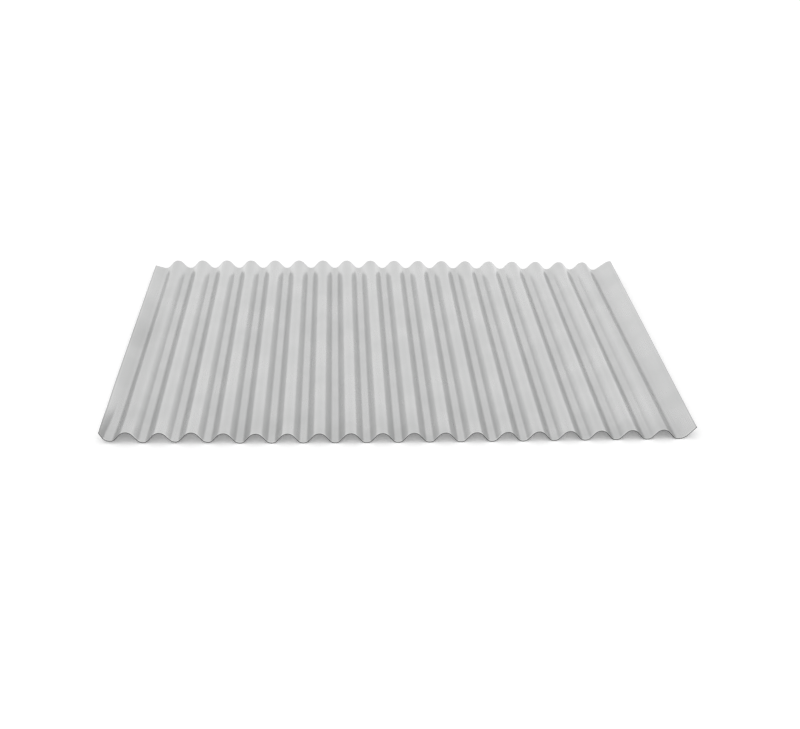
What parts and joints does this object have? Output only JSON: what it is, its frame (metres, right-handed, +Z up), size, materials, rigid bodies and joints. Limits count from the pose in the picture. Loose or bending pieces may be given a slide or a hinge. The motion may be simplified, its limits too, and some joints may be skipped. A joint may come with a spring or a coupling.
{
  "type": "corrugated metal sheet",
  "caption": "Small-wave corrugated metal sheet with square-cut ends, a straight lip along one side and a part crest along the other; laps with like sheets as roofing or cladding.",
  "frame": {"origin": "below the middle of the sheet, on the plane that its valleys rest on", "axes": "+X across the waves towards the part-crest edge, +Y along the waves, +Z up"},
  "size_m": [0.6096, 0.45, 0.0113],
  "materials": {
    "galvanised_steel": "smooth zinc coat, satin, with faint mottling and no paint"
  },
  "bodies": {
    "root": {"corrugated_sheet": "galvanised_steel"}
  },
  "joints": []
}
